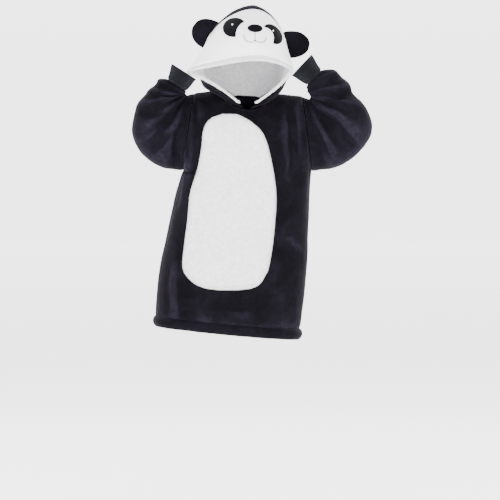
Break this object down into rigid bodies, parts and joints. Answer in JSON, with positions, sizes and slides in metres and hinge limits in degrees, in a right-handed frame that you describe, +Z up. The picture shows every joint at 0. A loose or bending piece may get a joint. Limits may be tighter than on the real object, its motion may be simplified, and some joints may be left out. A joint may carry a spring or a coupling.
{
  "type": "hooded blanket pullover",
  "caption": "Child's hooded plush blanket pullover with a panda face and ears on the hood, white belly patch, wide sleeves raised and bent, hollow as worn",
  "frame": {"origin": "middle of the wearer's neck, level with the base of the neck, where the shoulders hold the garment", "axes": "+Z up; the wearer's front faces -Y; the wearer's right is towards -X"},
  "size_m": [0.5788, 0.2667, 0.8036],
  "materials": {
    "plush": "short dark plush with a soft sheen",
    "rib_knit": "matte rib knit",
    "white_plush": "short white plush",
    "sherpa": "curly white pile",
    "mark": "smooth dark felt"
  },
  "bodies": {
    "root": {"front": "plush", "back": "plush", "hem_band": "plush", "sleeve_left": "plush", "sleeve_right": "plush", "cuff_left": "rib_knit", "cuff_right": "rib_knit", "belly_patch": "sherpa", "hood_face": "white_plush", "hood_back": "plush", "hood_lining": "sherpa", "ear_left": "plush", "ear_right": "plush", "eye_patch_left": "mark", "eye_patch_right": "mark", "nose": "mark"}
  },
  "joints": []
}
